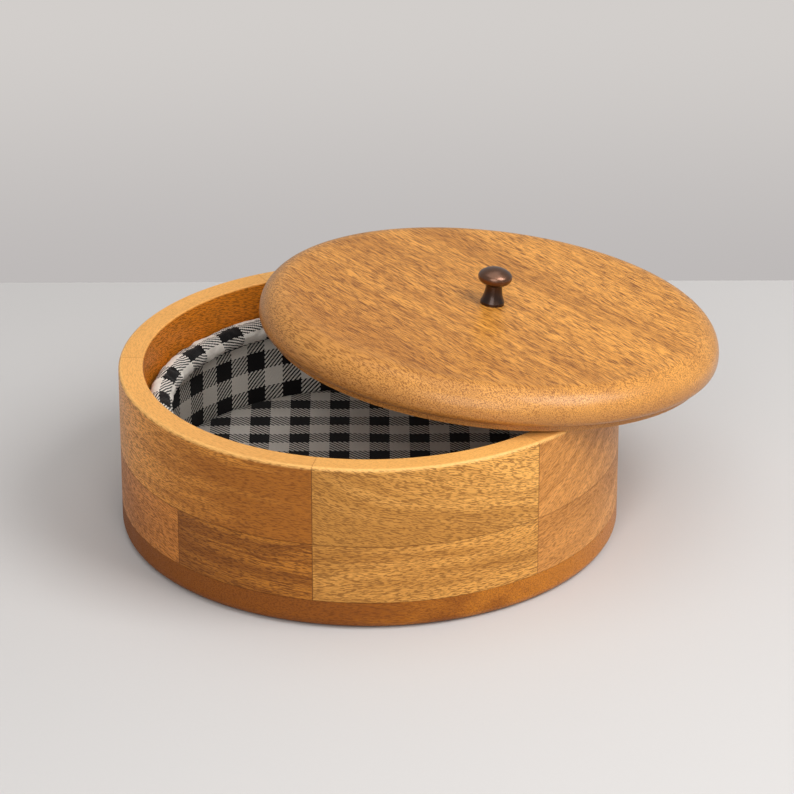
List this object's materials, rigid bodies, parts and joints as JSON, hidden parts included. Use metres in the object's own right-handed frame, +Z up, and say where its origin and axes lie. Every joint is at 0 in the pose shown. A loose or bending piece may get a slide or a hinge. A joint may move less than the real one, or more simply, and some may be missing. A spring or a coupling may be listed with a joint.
{
  "type": "bread box",
  "caption": "Round wooden bread box with a glued-block wall, a loose turned lid with a small metal knob and a padded cloth liner that keeps flatbread warm.",
  "frame": {"origin": "middle of the flat underside of the base, on the surface that the box stands on", "axes": "+Z up along the box's axis, -Y towards the front, +X towards the side to which the lid is slid"},
  "size_m": [0.3058, 0.2672, 0.1273],
  "materials": {
    "base_wood": "oiled satin",
    "lower_wood": "oiled satin",
    "upper_wood": "oiled satin",
    "lid_wood": "oiled satin",
    "bronze": "dark antique bronze, satin",
    "steel": "plated",
    "cloth": "black and white checked cotton"
  },
  "bodies": {
    "tub": {"base_disc": "base_wood", "lower_block_1": "lower_wood", "lower_block_2": "lower_wood", "lower_block_3": "lower_wood", "lower_block_4": "lower_wood", "lower_block_5": "lower_wood", "lower_block_6": "lower_wood", "lower_block_7": "lower_wood", "upper_block_1": "upper_wood", "upper_block_2": "upper_wood", "upper_block_3": "upper_wood", "upper_block_4": "upper_wood", "upper_block_5": "upper_wood", "upper_block_6": "upper_wood", "liner_floor": "cloth", "liner_side": "cloth", "liner_roll": "cloth"},
    "lid": {"lid_panel": "lid_wood", "knob": "bronze", "knob_screw": "steel", "knob_washer": "steel"}
  },
  "joints": [
    {"name": "lid_lift", "type": "slide", "parent": "tub", "child": "lid", "axis": [0, 0, 1], "range_m": [0, 0.15]}
  ]
}
